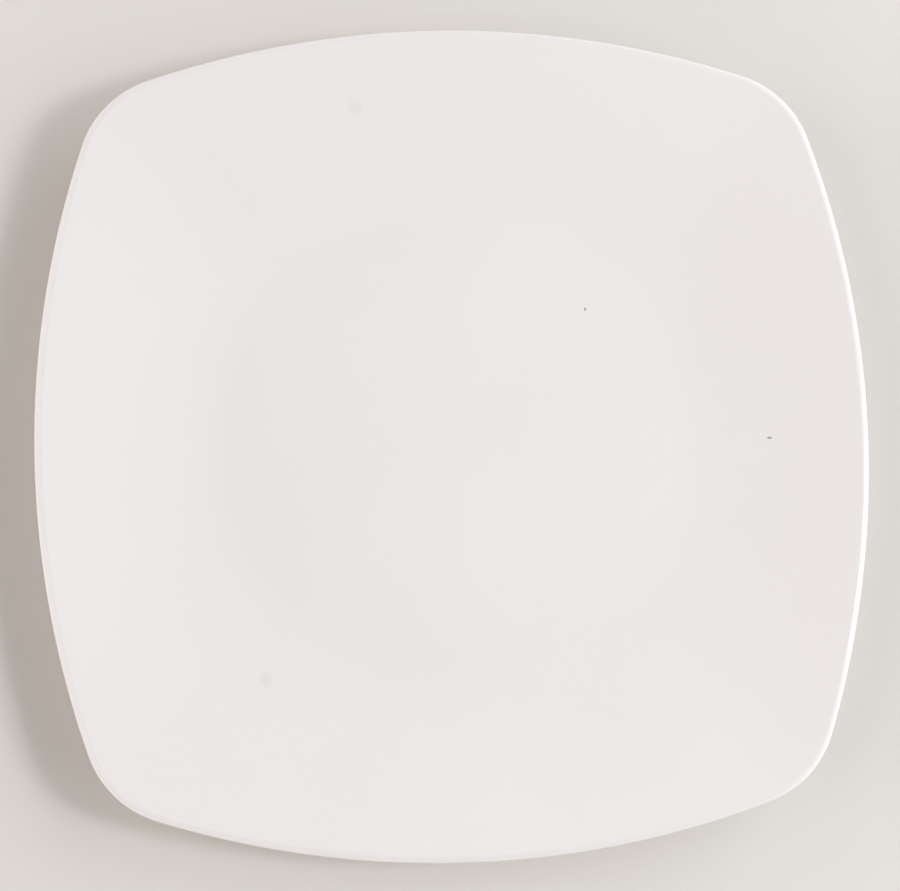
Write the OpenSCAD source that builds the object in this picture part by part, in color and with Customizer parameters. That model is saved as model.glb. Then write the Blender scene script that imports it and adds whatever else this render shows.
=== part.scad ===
// Salad plate: a soft-square white coupe plate with a round well and a round foot ring.
// Millimetres, +Z up. The foot ring stands on z = 0, and the plate's middle is on the Z axis.
// The clay is worked out as half a cross-section in many upright planes around that axis.
// Each glaze coat is the same section, set out by the coat's thickness.

/* [Outline] */
// Width across the middles of two opposite sides, over the glaze
plate_w = 210; // [190:1:240]
// Radius of each gently bowed side
side_r = 238; // [180:1:320]
// Radius of each rounded corner
corner_r = 26; // [18:1:40]

/* [Face] */
// Diameter of the round well, where the face starts to rise
well_d = 114; // [90:1:130]
// Height of the well's middle above the well's edge
well_crown = 0.4; // [0:0.1:1]
// Width over which the well's edge turns up into the rising face
well_turn = 10; // [2:0.5:12]
// Height of the rim's outermost line above the table
rim_h = 16; // [13:0.5:24]
// How late the face turns up towards the rim: 1 is a straight slope
rise_power = 1.18; // [1.1:0.02:2]

/* [Clay] */
// Thickness of the clay under the well
base_t = 4.4; // [3.4:0.1:6]
// Thickness of the clay just inside the rim
rim_t = 2.6; // [1.8:0.1:4]
// Width of the rim's rounding, over which the clay thins to its edge
rim_round = 1.6; // [1.2:0.1:5]

/* [Foot ring] */
// Outer diameter of the foot ring
foot_d = 118; // [90:1:130]
// Width of the foot ring between its bare edges
foot_w = 5.2; // [4:0.1:8]
// Height of the base's clay above the table
foot_h = 3; // [2:0.1:5]
// Radius of the foot ring's bare rounded edges
foot_round = 1.1; // [0.6:0.1:1.6]
// Width of the hollow fillets between the foot ring and the underside
foot_fillet = 3.6; // [2:0.1:6]

/* [Glaze] */
// Thickness of the fired glaze
glaze_t = 0.3; // [0.2:0.05:0.6]

/* [Hidden] */

// Facets along each bowed side and round each corner
side_steps = 12;
corner_steps = 6;
// Places of the section's points: shares of the well's radius, of the rising face from the well's edge
// to the rim's rounding, of the underside between the rounding and the foot ring, and of a fillet's curve
well_stops = [0.45, 0.8];
face_stops = [0, 0.04, 0.12, 0.26, 0.46, 0.72, 1];
under_stops = [1, 0.7, 0.42, 0.18];
fillet_stops = [0, 0.35, 0.7, 1];
// Places round the rim, in degrees from its upper side to its lower side
rim_stops = [25, 50, 70, 90, 110, 130, 155];

// Centres of the side and corner arcs, which meet smoothly where their normals agree
clay_half_w = plate_w / 2 - glaze_t;
side_centre = clay_half_w - side_r;
arc_gap = side_r - corner_r;
corner_centre = (side_centre + sqrt(2 * arc_gap ^ 2 - side_centre ^ 2)) / 2;
side_turn = asin(corner_centre / arc_gap);

well_r = well_d / 2;
foot_r = foot_d / 2;
foot_in_r = foot_r - foot_w;
// Height of the middle of the base's clay, and how far the middle of the rim's clay stands above it
base_mid_h = foot_h + base_t / 2;
rise = rim_h - base_mid_h;

// The outline's point where its normal has turned by this angle from the middle of a side
function outline_point(turn) = turn <= side_turn
    ? [side_centre + side_r * cos(turn), side_r * sin(turn)]
    : [corner_centre + corner_r * cos(turn), corner_centre + corner_r * sin(turn)];

// The normal's turns along one side and the corner after it
quarter_turns = [
    for (i = [0 : side_steps - 1]) side_turn * (2 * i / side_steps - 1),
    for (i = [0 : corner_steps - 1]) side_turn + (90 - 2 * side_turn) * i / corner_steps,
];
outline = [
    for (quarter = [0 : 3], turn = quarter_turns)
        let (p = outline_point(turn), c = cos(90 * quarter), s = sin(90 * quarter))
            [p.x * c - p.y * s, p.x * s + p.y * c]
];
count = len(outline);
headings = [for (p = outline) p / norm(p)];
// How far the outline lies beyond the round well, in each upright plane
runs = [for (p = outline) norm(p) - well_r];

// The rising clay, at a share u of the way from the well's edge to the outline: its height goes with the
// power of a distance that starts at the turn's width, so that the turn is soft
function rise_reach(u, run) = (max(u, 0) ^ 2 + (well_turn / run) ^ 2) ^ (rise_power / 2);
function rise_scale(run) = rise / (rise_reach(1, run) - rise_reach(0, run));
function rise_height(u, run) = rise_scale(run) * (rise_reach(u, run) - rise_reach(0, run));
function clay_slope(u, run) =
    let (spread = max(u, 0) ^ 2 + (well_turn / run) ^ 2)
        atan(rise_scale(run) * rise_power * max(u, 0) * spread ^ (rise_power / 2 - 1) / run);
function half_clay(u) = (base_t + (rim_t - base_t) * max(u, 0)) / 2;
// A point of the section, at a height h over the middle of the clay, square to it
function clay_point(u, h, run) =
    let (slope = clay_slope(u, run))
        [well_r + u * run - h * sin(slope), base_mid_h + rise_height(u, run) + h * cos(slope)];

// A fillet's point: a soft curve from start to end that heads for the corner at both ends
function fillet_point(start, corner, end, t) = start * (1 - t) ^ 2 + corner * 2 * t * (1 - t) + end * t ^ 2;

// The part of the section under the glaze coat: from the well out to the rim and back to the foot ring
function coated_section(run) =
    let (
        rim_start = 1 - rim_round / run,
        foot_start = (foot_r + foot_fillet - well_r) / run,
        fillet_top = clay_point(foot_start, -half_clay(foot_start), run)
    )
    [
        for (w = well_stops) [well_r * w, foot_h + base_t + well_crown * (1 - w ^ 2)],
        for (v = face_stops) clay_point(v * rim_start, half_clay(v * rim_start), run),
        for (a = rim_stops)
            let (u = 1 - rim_round * (1 - sin(a)) / run)
                clay_point(u, half_clay(u) * cos(a), run),
        for (v = under_stops)
            let (u = foot_start + v * (rim_start - foot_start))
                clay_point(u, -half_clay(u), run),
        for (t = fillet_stops) fillet_point(fillet_top, [foot_r, foot_h], [foot_r, foot_round], t),
    ];

// The foot ring's bare edge, between its two glaze lines
edge_drop = foot_round * (1 - sin(45));
bare_section = [
    [foot_r - edge_drop, edge_drop],
    [foot_r - foot_round, 0],
    [foot_in_r + foot_round, 0],
    [foot_in_r + edge_drop, edge_drop],
];

// The part of the section under the inner glaze: from the foot ring's inner line to the flat base
foot_well_section = [
    for (t = fillet_stops)
        fillet_point([foot_in_r, foot_round], [foot_in_r, foot_h], [foot_in_r - foot_fillet, foot_h], t),
];

// A section set out by the glaze's thickness, square to the line through each point's neighbours
function set_out(section) = [
    for (i = [0 : len(section) - 1])
        let (
            before = section[max(i - 1, 0)],
            after = section[min(i + 1, len(section) - 1)],
            along = (after - before) / norm(after - before)
        )
            section[i] + glaze_t * [-along.y, along.x],
];

function reversed(list) = [for (i = [len(list) - 1 : -1 : 0]) list[i]];

// Rings of points around the axis, from one section for each upright plane
function rings_of(sections) = [
    for (i = [0 : len(sections[0]) - 1])
        [for (j = [0 : count - 1]) let (p = sections[j][i], h = headings[j]) [h.x * p.x, h.y * p.x, p.y]]
];

// Two triangles on each four-sided patch between two rings, split along its shorter diagonal
function band_faces(a, b, first) = [
    for (j = [0 : count - 1])
        let (k = (j + 1) % count, p = first + j, q = first + k)
            each norm(a[j] - b[k]) < norm(a[k] - b[j])
                ? [[p, q, q + count], [p, q + count, p + count]]
                : [[p, q, p + count], [q, q + count, p + count]],
];

// A closed solid from rings that run from one point on the axis to another
module ringed_solid(start_h, rings, end_h) {
    points = [for (ring = rings) each ring, [0, 0, start_h], [0, 0, end_h]];
    start = len(rings) * count;
    last = start - count;
    polyhedron(points, [
        for (j = [0 : count - 1]) [start, (j + 1) % count, j],
        for (i = [0 : len(rings) - 2]) each band_faces(rings[i], rings[i + 1], i * count),
        for (j = [0 : count - 1]) [start + 1, last + j, last + (j + 1) % count],
    ]);
}

coated_sections = [for (run = runs) coated_section(run)];
well_h = foot_h + base_t + well_crown;

// The fired clay, with its foot ring in one piece
module clay_body() {
    sections = [for (s = coated_sections) concat(s, bare_section, foot_well_section)];
    color("linen") ringed_solid(well_h, rings_of(sections), foot_h);
}

// The glaze over the face, the rim and the underside, down to the foot ring's bare edge
module glaze_coat() {
    sections = [for (s = coated_sections) concat(set_out(s), reversed(s))];
    color("white") ringed_solid(well_h + glaze_t, rings_of(sections), well_h);
}

// The glaze inside the foot ring
module foot_well_glaze() {
    section = concat(reversed(foot_well_section), set_out(foot_well_section));
    color("whitesmoke") ringed_solid(foot_h, rings_of([for (run = runs) section]), foot_h - glaze_t);
}

clay_body();
glaze_coat();
foot_well_glaze();
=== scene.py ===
import bpy
import numpy as np
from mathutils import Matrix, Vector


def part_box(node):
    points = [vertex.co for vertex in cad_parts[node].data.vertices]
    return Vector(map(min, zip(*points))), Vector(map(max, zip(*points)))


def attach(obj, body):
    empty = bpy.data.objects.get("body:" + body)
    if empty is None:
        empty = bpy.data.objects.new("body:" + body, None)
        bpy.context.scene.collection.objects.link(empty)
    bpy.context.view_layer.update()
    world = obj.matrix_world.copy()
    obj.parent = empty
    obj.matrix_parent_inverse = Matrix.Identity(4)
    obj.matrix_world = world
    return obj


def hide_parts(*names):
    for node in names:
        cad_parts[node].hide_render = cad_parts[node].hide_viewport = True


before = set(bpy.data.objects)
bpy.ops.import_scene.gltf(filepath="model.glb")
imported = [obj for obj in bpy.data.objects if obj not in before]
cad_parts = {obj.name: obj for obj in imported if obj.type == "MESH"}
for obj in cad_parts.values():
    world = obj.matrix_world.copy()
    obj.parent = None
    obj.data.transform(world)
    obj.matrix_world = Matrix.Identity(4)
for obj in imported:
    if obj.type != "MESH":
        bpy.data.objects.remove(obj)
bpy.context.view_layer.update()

# Clay body: white clay pressed over a mould into one soft-square piece with its foot ring, dried,
# smoothed round at the rim and foot with a wet sponge, and fired. Glaze hides all of it but the
# foot ring's lowest edge, which is wiped bare and sanded so that it doesn't scratch the table.
MM = 0.001
# The solids' facets cut across the true curves, so the fine surfaces keep inside their box by this much
inset = 0.03 * MM
clay_half_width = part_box("clay_body")[1].x - inset
side_radius = 238 * MM
corner_radius = 26 * MM
well_radius = 57 * MM
well_crown = 0.15 * MM
well_turn = 10 * MM
rim_height = 16 * MM - inset
rise_power = 1.18
base_thickness = 4.4 * MM
rim_thickness = 2.6 * MM
rim_rounding = 1.6 * MM
foot_radius = 59 * MM
foot_width = 5.2 * MM
foot_inner_radius = foot_radius - foot_width
foot_height = 3 * MM
foot_rounding = 1.1 * MM
foot_fillet = 3.6 * MM
base_middle = foot_height + base_thickness / 2
well_top = foot_height + base_thickness + well_crown
# How many steps the mesh takes along each side and round each corner of the outline
side_steps = 48
corner_steps = 40
# About how many rings of points a fine mesh has along each stretch of the section
well_rings = 16
face_rings = 56
rim_rings = 48
under_rings = 36
foot_rings = 16
bare_rings = 8
base_rings = 6
# How closely the face's rings crowd towards the well's edge, where the face turns up
face_crowding = 1.4
# Under its glaze the clay has this share of the rings, and this many round the fillet inside the foot ring
clay_detail = 0.5
hidden_fillet_rings = 10


def soft_square():
    """The plate's outline as complex numbers x + iy: an arc of side_radius along each side and an arc of
    corner_radius round each corner, which meet where their normals agree. One quarter is turned four
    ways."""
    side_centre = clay_half_width - side_radius
    arc_gap = side_radius - corner_radius
    corner_centre = (side_centre + np.sqrt(2 * arc_gap ** 2 - side_centre ** 2)) / 2
    side_turn = np.arcsin(corner_centre / arc_gap)
    along_side = np.linspace(-side_turn, side_turn, side_steps, endpoint=False)
    round_corner = np.linspace(side_turn, np.pi / 2 - side_turn, corner_steps, endpoint=False)
    side = side_centre + side_radius * np.exp(1j * along_side)
    corner = corner_centre * (1 + 1j) + corner_radius * np.exp(1j * round_corner)
    quarter_turns = np.array([1, 1j, -1, -1j])
    return np.outer(quarter_turns, np.concatenate([side, corner])).ravel()


outline = soft_square()
heading = outline / np.abs(outline)
run = np.abs(outline) - well_radius


def half_clay(share):
    """Half the clay's thickness, which changes evenly from the well's edge (share 0) to the outline (1)."""
    return (base_thickness + (rim_thickness - base_thickness) * np.maximum(share, 0)) / 2


def rising_clay(share, above):
    """Radius and height of a point of the rising clay, in each upright plane around the axis. share goes
    from 0 at the well's edge to 1 at the outline, and above is the distance from the clay's middle, square
    to it. The middle's height goes with the power rise_power of sqrt(share^2 + turn^2), so that the start
    is soft."""
    turn = well_turn / run
    out = np.maximum(share, 0)
    spread = out ** 2 + turn ** 2
    start = turn ** rise_power
    end = (1 + turn ** 2) ** (rise_power / 2)
    scale = (rim_height - base_middle) / (end - start)
    middle = base_middle + scale * (spread ** (rise_power / 2) - start)
    slope = np.arctan(scale * rise_power * out * spread ** (rise_power / 2 - 1) / run)
    radius = well_radius + share * run - above * np.sin(slope)
    return np.stack([radius, middle + above * np.cos(slope)], axis=-1)


def fillet(start, corner, end, count):
    """A soft curve from start to end that heads for the corner at both ends, of the second degree."""
    t = np.linspace(0, 1, count)[:, None, None]
    return start * (1 - t) ** 2 + corner * 2 * t * (1 - t) + end * t ** 2


def ring_point(radius, height):
    """The same radius and height in every upright plane."""
    return np.array([radius, height]) * np.ones((len(run), 1))


def coated_section(detail):
    """The clay's section under the outer glaze in every upright plane, as radius and height: across the
    well, up the rising face, round the rim on half an ellipse, back along the underside and down the foot
    ring. detail is the share of a fine mesh's rings."""
    share = np.linspace(0, 1, int(well_rings * detail) + 1)[1:-1, None]
    well_height = foot_height + base_thickness + well_crown * (1 - share ** 2)
    well = np.stack([well_radius * share, well_height], axis=-1) * np.ones((1, len(run), 1))
    rim_start = 1 - rim_rounding / run
    foot_start = (foot_radius + foot_fillet - well_radius) / run
    up = rim_start * np.linspace(0, 1, int(face_rings * detail))[:-1, None] ** face_crowding
    face = rising_clay(up, half_clay(up))
    angle = np.linspace(0, np.pi, int(rim_rings * detail))[:, None]
    edge = 1 - rim_rounding * (1 - np.sin(angle)) / run
    rim = rising_clay(edge, half_clay(edge) * np.cos(angle))
    inward = np.linspace(1, 0, int(under_rings * detail))[1:-1, None]
    back = foot_start + (rim_start - foot_start) * inward
    under = rising_clay(back, -half_clay(back))
    foot_side = fillet(
        rising_clay(foot_start, -half_clay(foot_start)),
        ring_point(foot_radius, foot_height),
        ring_point(foot_radius, foot_rounding),
        int(foot_rings * detail),
    )
    return np.concatenate([well, face, rim, under, foot_side])


def bare_section():
    """The foot ring's bare edge: a quarter-round, the flat that stands on the table and a quarter-round."""
    angle = np.linspace(0, np.pi / 2, bare_rings + 1)[1:]
    outer = (foot_radius - foot_rounding) + foot_rounding * np.cos(angle)
    inner = (foot_inner_radius + foot_rounding) - foot_rounding * np.cos(angle[::-1])
    drop = foot_rounding * (1 - np.sin(angle))
    radius = np.concatenate([outer, inner])[:, None]
    height = np.concatenate([drop, drop[::-1]])[:, None]
    return np.stack([radius, height], axis=-1) * np.ones((1, len(run), 1))


def foot_well_section(fillet_rings):
    """The clay's section inside the foot ring, from its inner glaze line over a fillet to the flat base."""
    base_start = foot_inner_radius - foot_fillet
    side = fillet(
        ring_point(foot_inner_radius, foot_rounding),
        ring_point(foot_inner_radius, foot_height),
        ring_point(base_start, foot_height),
        fillet_rings,
    )
    base_radius = base_start * np.linspace(1, 0, base_rings + 2)[1:-1, None]
    base = np.stack([base_radius, np.full_like(base_radius, foot_height)], axis=-1)
    return np.concatenate([side, base * np.ones((1, len(run), 1))])


def on_axis(height):
    """A point on the plate's upright axis."""
    return np.array([0, 0, height])


def rings_of(section):
    """Points in space from a section: each radius is laid along its plane's heading, at its height."""
    radius = section[..., 0]
    return np.stack([radius * heading.real, radius * heading.imag, section[..., 1]], axis=-1)


def closed_piece(name, first, rings, last):
    """A closed surface through rings of points. Four-sided faces join each ring to the next, and a fan of
    triangles closes the first ring on the point first, and the last ring on the point last."""
    ring_count, around = rings.shape[:2]
    index = np.arange(ring_count * around).reshape(ring_count, around)
    beside = np.roll(index, -1, axis=1)
    bands = np.stack([index[:-1], index[1:], beside[1:], beside[:-1]], axis=-1).reshape(-1, 4)
    first_fan = np.stack([np.full(around, index.size), index[0], beside[0]], axis=-1)
    last_fan = np.stack([np.full(around, index.size + 1), beside[-1], index[-1]], axis=-1)
    mesh = bpy.data.meshes.new(name)
    points = np.concatenate([rings.reshape(-1, 3), [first, last]])
    mesh.from_pydata(points.tolist(), [], bands.tolist() + first_fan.tolist() + last_fan.tolist())
    mesh.shade_smooth()
    piece = bpy.data.objects.new(name, mesh)
    bpy.context.scene.collection.objects.link(piece)
    return piece


class Wire:
    """One value in a node tree. Arithmetic with numbers and other values adds Math nodes."""

    def __init__(self, tree, socket=None):
        self.tree = tree
        self.socket = socket

    def node(self, kind, settings, sockets, output=0):
        """Adds a node of this kind with its settings, feeds its sockets with values or wires, and returns a
        wire from one of its outputs."""
        made = self.tree.nodes.new(kind)
        for name, value in settings.items():
            setattr(made, name, value)
        for name, value in sockets.items():
            if isinstance(value, Wire):
                self.tree.links.new(value.socket, made.inputs[name])
            else:
                made.inputs[name].default_value = value
        return Wire(self.tree, made.outputs[output] if len(made.outputs) else None)

    def math(self, operation, first, second):
        """Adds a Math node on two values."""
        return self.node("ShaderNodeMath", {"operation": operation}, {0: first, 1: second})

    def __add__(self, other):
        return self.math("ADD", self, other)

    def __radd__(self, other):
        return self.math("ADD", other, self)

    def __sub__(self, other):
        return self.math("SUBTRACT", self, other)

    def __rsub__(self, other):
        return self.math("SUBTRACT", other, self)

    def __mul__(self, other):
        return self.math("MULTIPLY", self, other)

    def __rmul__(self, other):
        return self.math("MULTIPLY", other, self)

    def noise(self, place, size, detail):
        """Cloudy values from 0 to 1 whose patches are about this size, in metres."""
        return self.node(
            "ShaderNodeTexNoise",
            {"noise_dimensions": "3D"},
            {"Vector": place, "Scale": 1 / size, "Detail": detail},
        )

    def step(self, value, low, high):
        """0 where the value is under low, 1 where it is over high, and a soft step between."""
        return self.node(
            "ShaderNodeMapRange",
            {"interpolation_type": "SMOOTHSTEP"},
            {"Value": value, "From Min": low, "From Max": high},
        )

    def mix(self, share, first, second):
        """One colour turning into another as share goes from 0 to 1."""
        return self.node("ShaderNodeMix", {"data_type": "RGBA"}, {0: share, 6: first, 7: second}, output=2)

    def spot(self, place, middle, reach):
        """1 in the core of an egg-shaped spot, falling softly to 0 at its reach along each axis."""
        core = 0.3
        away = self.node("ShaderNodeVectorMath", {"operation": "SUBTRACT"}, {0: place, 1: middle})
        shares = self.node("ShaderNodeVectorMath", {"operation": "DIVIDE"}, {0: away, 1: reach})
        distance = self.node("ShaderNodeVectorMath", {"operation": "LENGTH"}, {0: shares}, output="Value")
        return 1 - self.step(distance, core, 1)


def paint(red, green, blue):
    """A colour as it looks, with parts from 0 to 255, as the light-linear colour that a shader takes, by
    the sRGB curve."""
    share = np.array([red, green, blue]) / 255
    linear = np.where(share > 0.04045, ((share + 0.055) / 1.055) ** 2.4, share / 12.92)
    return (*linear.tolist(), 1.0)


def new_material(name):
    """An empty material, and a wire into its tree."""
    material = bpy.data.materials.new(name)
    material.use_nodes = True
    material.node_tree.nodes.clear()
    return material, Wire(material.node_tree)


def bare_clay():
    """Fired white clay: warm and matt, fine-grained, with pinholes and the grey rub of table and shelf."""
    material, wire = new_material("fired_clay")
    place = wire.node("ShaderNodeTexCoord", {}, {}, output="Object")
    height = wire.node("ShaderNodeSeparateXYZ", {}, {"Vector": place}, output="Z")
    grain = wire.noise(place, 0.35 * MM, detail=4.0)
    clouds = wire.noise(place, 9 * MM, detail=3.0)
    pinholes = wire.step(wire.noise(place, 0.8 * MM, detail=1.0), 0.71, 0.78)
    patches = wire.step(wire.noise(place, 5 * MM, detail=5.0), 0.35, 0.75)
    rub = (1 - wire.step(height, 0.05 * MM, 0.5 * MM)) * patches
    colour = wire.mix(clouds, paint(222, 210, 193), paint(233, 224, 211))
    colour = wire.mix(grain * 0.35, colour, paint(201, 187, 168))
    colour = wire.mix(rub * 0.45, colour, paint(176, 168, 158))
    colour = wire.mix(pinholes * 0.7, colour, paint(142, 124, 104))
    bump = wire.node(
        "ShaderNodeBump", {}, {"Strength": 0.6, "Distance": 0.05 * MM, "Height": grain * 0.7 - pinholes}
    )
    surface = wire.node(
        "ShaderNodeBsdfPrincipled",
        {},
        {"Base Color": colour, "Roughness": 0.68 + grain * 0.2, "Normal": bump, "IOR": 1.5},
    )
    wire.node("ShaderNodeOutputMaterial", {}, {"Surface": surface})
    return material


clay_section = np.concatenate([
    coated_section(clay_detail),
    bare_section(),
    foot_well_section(hidden_fillet_rings),
])
clay = closed_piece("pressed_clay", on_axis(well_top), rings_of(clay_section), on_axis(foot_height))
clay.data.materials.append(bare_clay())
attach(clay, "root")
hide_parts("clay_body")

# Glaze coat: white glaze that the plate is dipped in, melted in the kiln to a glassy skin over the face,
# the rim and the underside. The melt runs a little thinner in places, and its wiped edge on the foot ring
# rounds off like a bead.
glaze_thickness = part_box("glaze_coat")[1].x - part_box("clay_body")[1].x
bead_width = 0.5 * MM
# The most of its thickness that the melt loses where it runs thin
ripple_share = 0.12
ripple_lengths = np.array([61, 43, 34, 27]) * MM
ripple_turns = np.radians([20, 75, 130, 172])
# The side against the clay has this share of a fine mesh's rings
inner_detail = 0.3
# How far a mark reaches up and down, in millimetres, so that it shows whatever the slope of the face
mark_depth = 2
smudge_grey = (205, 201, 200)


def ripple(points):
    """How far the melt has run thin, from 0 to 1: half of one less the mean of four plane waves of unlike
    lengths."""
    across = points[..., :1] * np.cos(ripple_turns) + points[..., 1:2] * np.sin(ripple_turns)
    return (1 - np.sin(2 * np.pi * across / ripple_lengths).mean(axis=-1)) / 2


def bead(distance):
    """The share of the full thickness near a wiped line: a quarter-round over the bead's width."""
    inside = np.clip(1 - distance / bead_width, 0, 1)
    return np.sqrt(1 - inside ** 2)


def melted_over(section, from_line):
    """The glaze's outer section: the clay's, set out square to itself by the glaze's thickness, which
    ripples a little and falls to nothing at the wiped line. from_line is each point's distance from that
    line."""
    along = np.gradient(section, axis=0)
    along /= np.linalg.norm(along, axis=-1, keepdims=True)
    thickness = glaze_thickness * (1 - ripple_share * ripple(rings_of(section))) * bead(from_line)
    square = np.stack([-along[..., 1], along[..., 0]], axis=-1)
    return section + thickness[..., None] * square


def length_along(section):
    """Each point's distance along its section from the section's first point."""
    steps = np.linalg.norm(np.diff(section, axis=0), axis=-1)
    return np.concatenate([np.zeros((1, len(run))), np.cumsum(steps, axis=0)])


def white_glaze(name, marks=()):
    """Glossy white glaze: almost even in colour, with the faint orange-peel of a melt that has levelled.
    Each mark is a spot under the glaze: its middle, its reach along the three axes, its colour, and how
    strongly it shows."""
    material, wire = new_material(name)
    place = wire.node("ShaderNodeTexCoord", {}, {}, output="Object")
    clouds = wire.noise(place, 48 * MM, detail=3.0)
    peel = wire.noise(place, 2.2 * MM, detail=1.0)
    swell = wire.noise(place, 11 * MM, detail=1.0)
    colour = wire.mix(clouds, paint(232, 228, 228), paint(235, 232, 231))
    for middle, reach, tint, strength in marks:
        colour = wire.mix(wire.spot(place, middle, reach) * strength, colour, tint)
    relief = wire.node(
        "ShaderNodeBump", {}, {"Strength": 1.0, "Distance": 0.01 * MM, "Height": peel * 0.5 + swell * 2.0}
    )
    surface = wire.node(
        "ShaderNodeBsdfPrincipled",
        {},
        {"Base Color": colour, "Roughness": 0.1 + clouds * 0.06, "Normal": relief, "IOR": 1.5},
    )
    wire.node("ShaderNodeOutputMaterial", {}, {"Surface": surface})
    return material


fine_section = coated_section(1)
hidden_section = coated_section(inner_detail)[:-1]
full_length = length_along(fine_section)
coat_rings = np.concatenate([
    rings_of(melted_over(fine_section, full_length[-1] - full_length)),
    rings_of(hidden_section)[::-1],
])
coat = closed_piece("white_glaze_coat", on_axis(well_top + glaze_thickness), coat_rings, on_axis(well_top))


def face_mark(x, y, height, width, length, tint, strength):
    """A mark on the face, from its middle and its size along X and Y in millimetres, its colour and how
    strongly it shows."""
    reach = np.array([width / 2, length / 2, mark_depth]) * MM
    return np.array([x, y, height]) * MM, reach, paint(*tint), strength


iron_speck = face_mark(34.6, 33.7, 7.8, width=0.7, length=1.2, tint=(146, 114, 104), strength=0.9)
dark_speck = face_mark(80.6, -0.9, 11.7, width=1.8, length=0.7, tint=(88, 84, 84), strength=0.8)
back_smudge = face_mark(-23.7, 85.9, 13.4, width=5.5, length=5.5, tint=smudge_grey, strength=0.2)
front_smudge = face_mark(-49, -58.8, 9.8, width=5, length=5.5, tint=smudge_grey, strength=0.24)
coat.data.materials.append(white_glaze("white_glaze", [iron_speck, dark_speck, back_smudge, front_smudge]))
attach(coat, "root")
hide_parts("glaze_coat")

# Foot-well glaze: the pool of the same glaze inside the foot ring, cut off from the rest when the ring's
# edge is wiped. Its own wiped edge rounds off in the same way.
shown_fillet_rings = 24
pool_section = foot_well_section(shown_fillet_rings)
pool_rings = np.concatenate([
    rings_of(foot_well_section(hidden_fillet_rings)[1:])[::-1],
    rings_of(melted_over(pool_section, length_along(pool_section))),
])
pool_face = foot_height - glaze_thickness
pool = closed_piece("foot_well_pool", on_axis(foot_height), pool_rings, on_axis(pool_face))
pool.data.materials.append(white_glaze("foot_glaze"))
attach(pool, "root")
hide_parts("foot_well_glaze")

# Table: a plain pale top with a trace of mottling. Far from the plate it fades into the white walls, so
# that no edge shows in a low view. Its reach and the start of the fade are in metres.
table_reach = 1.1
fade_start = 0.5
table_mesh = bpy.data.meshes.new("table_top")
table_corners = np.array([[-1, -1, 0], [1, -1, 0], [1, 1, 0], [-1, 1, 0]]) * table_reach
table_mesh.from_pydata(table_corners.tolist(), [], [[0, 1, 2, 3]])
table = bpy.data.objects.new("table_top", table_mesh)
bpy.context.scene.collection.objects.link(table)
table_material, table_wire = new_material("pale_table")
table_place = table_wire.node("ShaderNodeTexCoord", {}, {}, output="Object")
table_clouds = table_wire.noise(table_place, 60 * MM, detail=3.0)
table_colour = table_wire.mix(table_clouds, paint(222, 218, 213), paint(225, 221, 216))
from_plate = table_wire.node(
    "ShaderNodeVectorMath", {"operation": "LENGTH"}, {0: table_place}, output="Value"
)
table_cover = 1 - table_wire.step(from_plate, fade_start, table_reach)
table_surface = table_wire.node(
    "ShaderNodeBsdfPrincipled",
    {},
    {"Base Color": table_colour, "Roughness": 0.9, "IOR": 1.2, "Alpha": table_cover},
)
table_wire.node("ShaderNodeOutputMaterial", {}, {"Surface": table_surface})
table_mesh.materials.append(table_material)

# Camera: looks almost straight down from half a metre up, a little from the left and the front. Its turns
# about the three axes are in radians.
camera_data = bpy.data.cameras.new("camera")
camera_data.sensor_width = 36
camera_data.lens = 77.5
camera = bpy.data.objects.new("camera", camera_data)
camera.location = (-32.88 * MM, -42.56 * MM, 500 * MM)
camera.rotation_euler = (0.0859, -0.06198, -0.02591)
bpy.context.scene.collection.objects.link(camera)
bpy.context.scene.camera = camera

# Light: a small soft box on the right, which throws the shadow and draws the bright line along the rim, two
# broad ones round it, two on the left, and a dim surround that turns white towards the horizon, as pale
# walls do. The light from the left and from all around is a little warmer.
surround_strength = 0.17
wall_strength = 1.0
# Where the white walls end and the dim surround starts, as the sines of angles over the table
wall_top = 0.34
surround_start = 0.62
# Metres from the plate to each box
box_distance = 1.4
cool_light = (0.96, 1.0, 1.03)
warm_light = (1.04, 0.99, 0.96)


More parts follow.
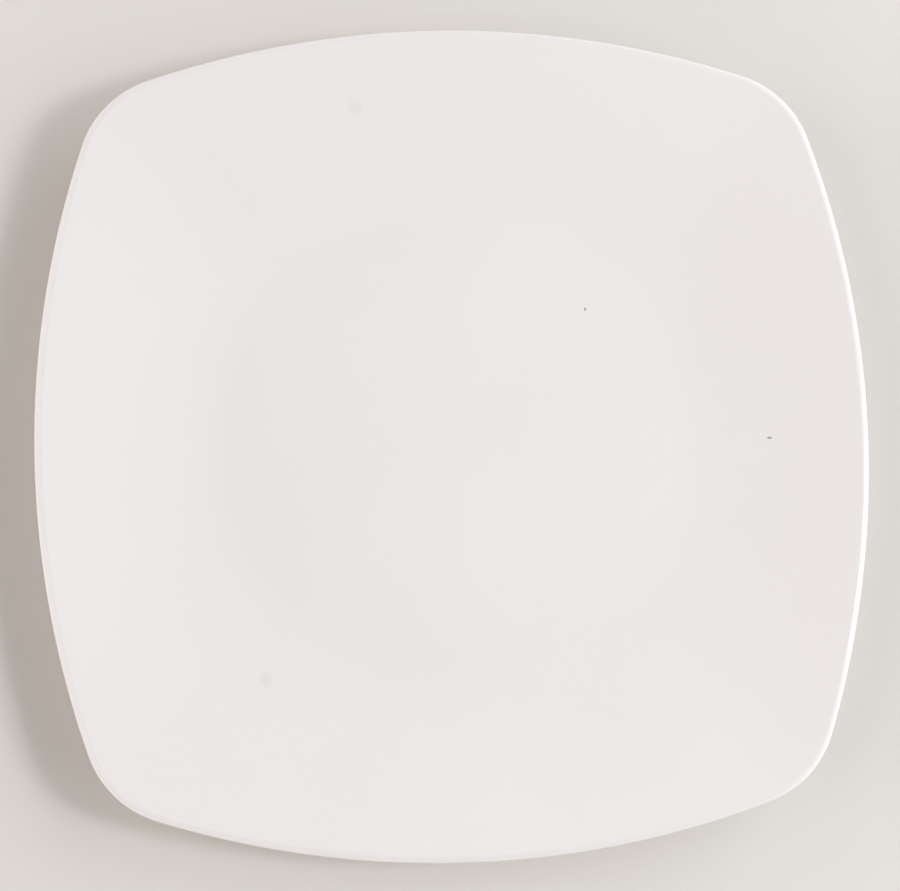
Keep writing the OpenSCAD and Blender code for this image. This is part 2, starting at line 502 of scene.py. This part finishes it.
def soft_box(name, turn, lift, width, height, share, tint, mirrored=False):
    """A lamp of this width and height in metres, turned from +X around the plate and lifted over the table
    by these angles in degrees. It gives the table this share of the light under which a colour looks as
    written: its power is the share times pi squared and the distance squared, over the sine of the lift.
    Only a mirrored lamp shows in the glaze, which would turn white all over in a low view otherwise."""
    lamp_data = bpy.data.lights.new(name, "AREA")
    lamp_data.shape = "RECTANGLE"
    # The lamp's own X axis leans upright, and its Y axis lies level
    lamp_data.size = height
    lamp_data.size_y = width
    lamp_data.color = tint
    around, up = np.radians([turn, lift])
    lamp_data.energy = share * np.pi ** 2 * box_distance ** 2 / np.sin(up)
    lamp = bpy.data.objects.new(name, lamp_data)
    lamp.visible_glossy = mirrored
    away = np.array([np.cos(around) * np.cos(up), np.sin(around) * np.cos(up), np.sin(up)])
    lamp.location = box_distance * away
    lamp.rotation_euler = (0, np.pi / 2 - up, around)
    bpy.context.scene.collection.objects.link(lamp)


soft_box("right_box", turn=-3, lift=45, width=0.28, height=0.28, share=0.21, tint=cool_light, mirrored=True)
soft_box("broad_right_box", turn=10, lift=28, width=2.4, height=1.4, share=0.295, tint=cool_light)
soft_box(
    "high_right_box", turn=10, lift=42, width=2.4, height=0.7, share=0.18, tint=cool_light, mirrored=True
)
soft_box("left_box", turn=180, lift=48, width=1.1, height=0.5, share=0.1, tint=warm_light, mirrored=True)
soft_box("low_left_box", turn=184, lift=14, width=1.6, height=0.6, share=0.12, tint=warm_light)
world = bpy.data.worlds.new("surround")
world.use_nodes = True
world.node_tree.nodes.clear()
world_wire = Wire(world.node_tree)
direction = world_wire.node("ShaderNodeTexCoord", {}, {}, output="Generated")
upward = world_wire.node("ShaderNodeSeparateXYZ", {}, {"Vector": direction}, output="Z")
over_walls = world_wire.step(upward, wall_top, surround_start)
strength = wall_strength + over_walls * (surround_strength - wall_strength)
surround = world_wire.node("ShaderNodeBackground", {}, {"Color": (*warm_light, 1), "Strength": strength})
world_wire.node("ShaderNodeOutputWorld", {}, {"Surface": surround})
bpy.context.scene.world = world
bpy.context.scene.view_settings.view_transform = "Standard"
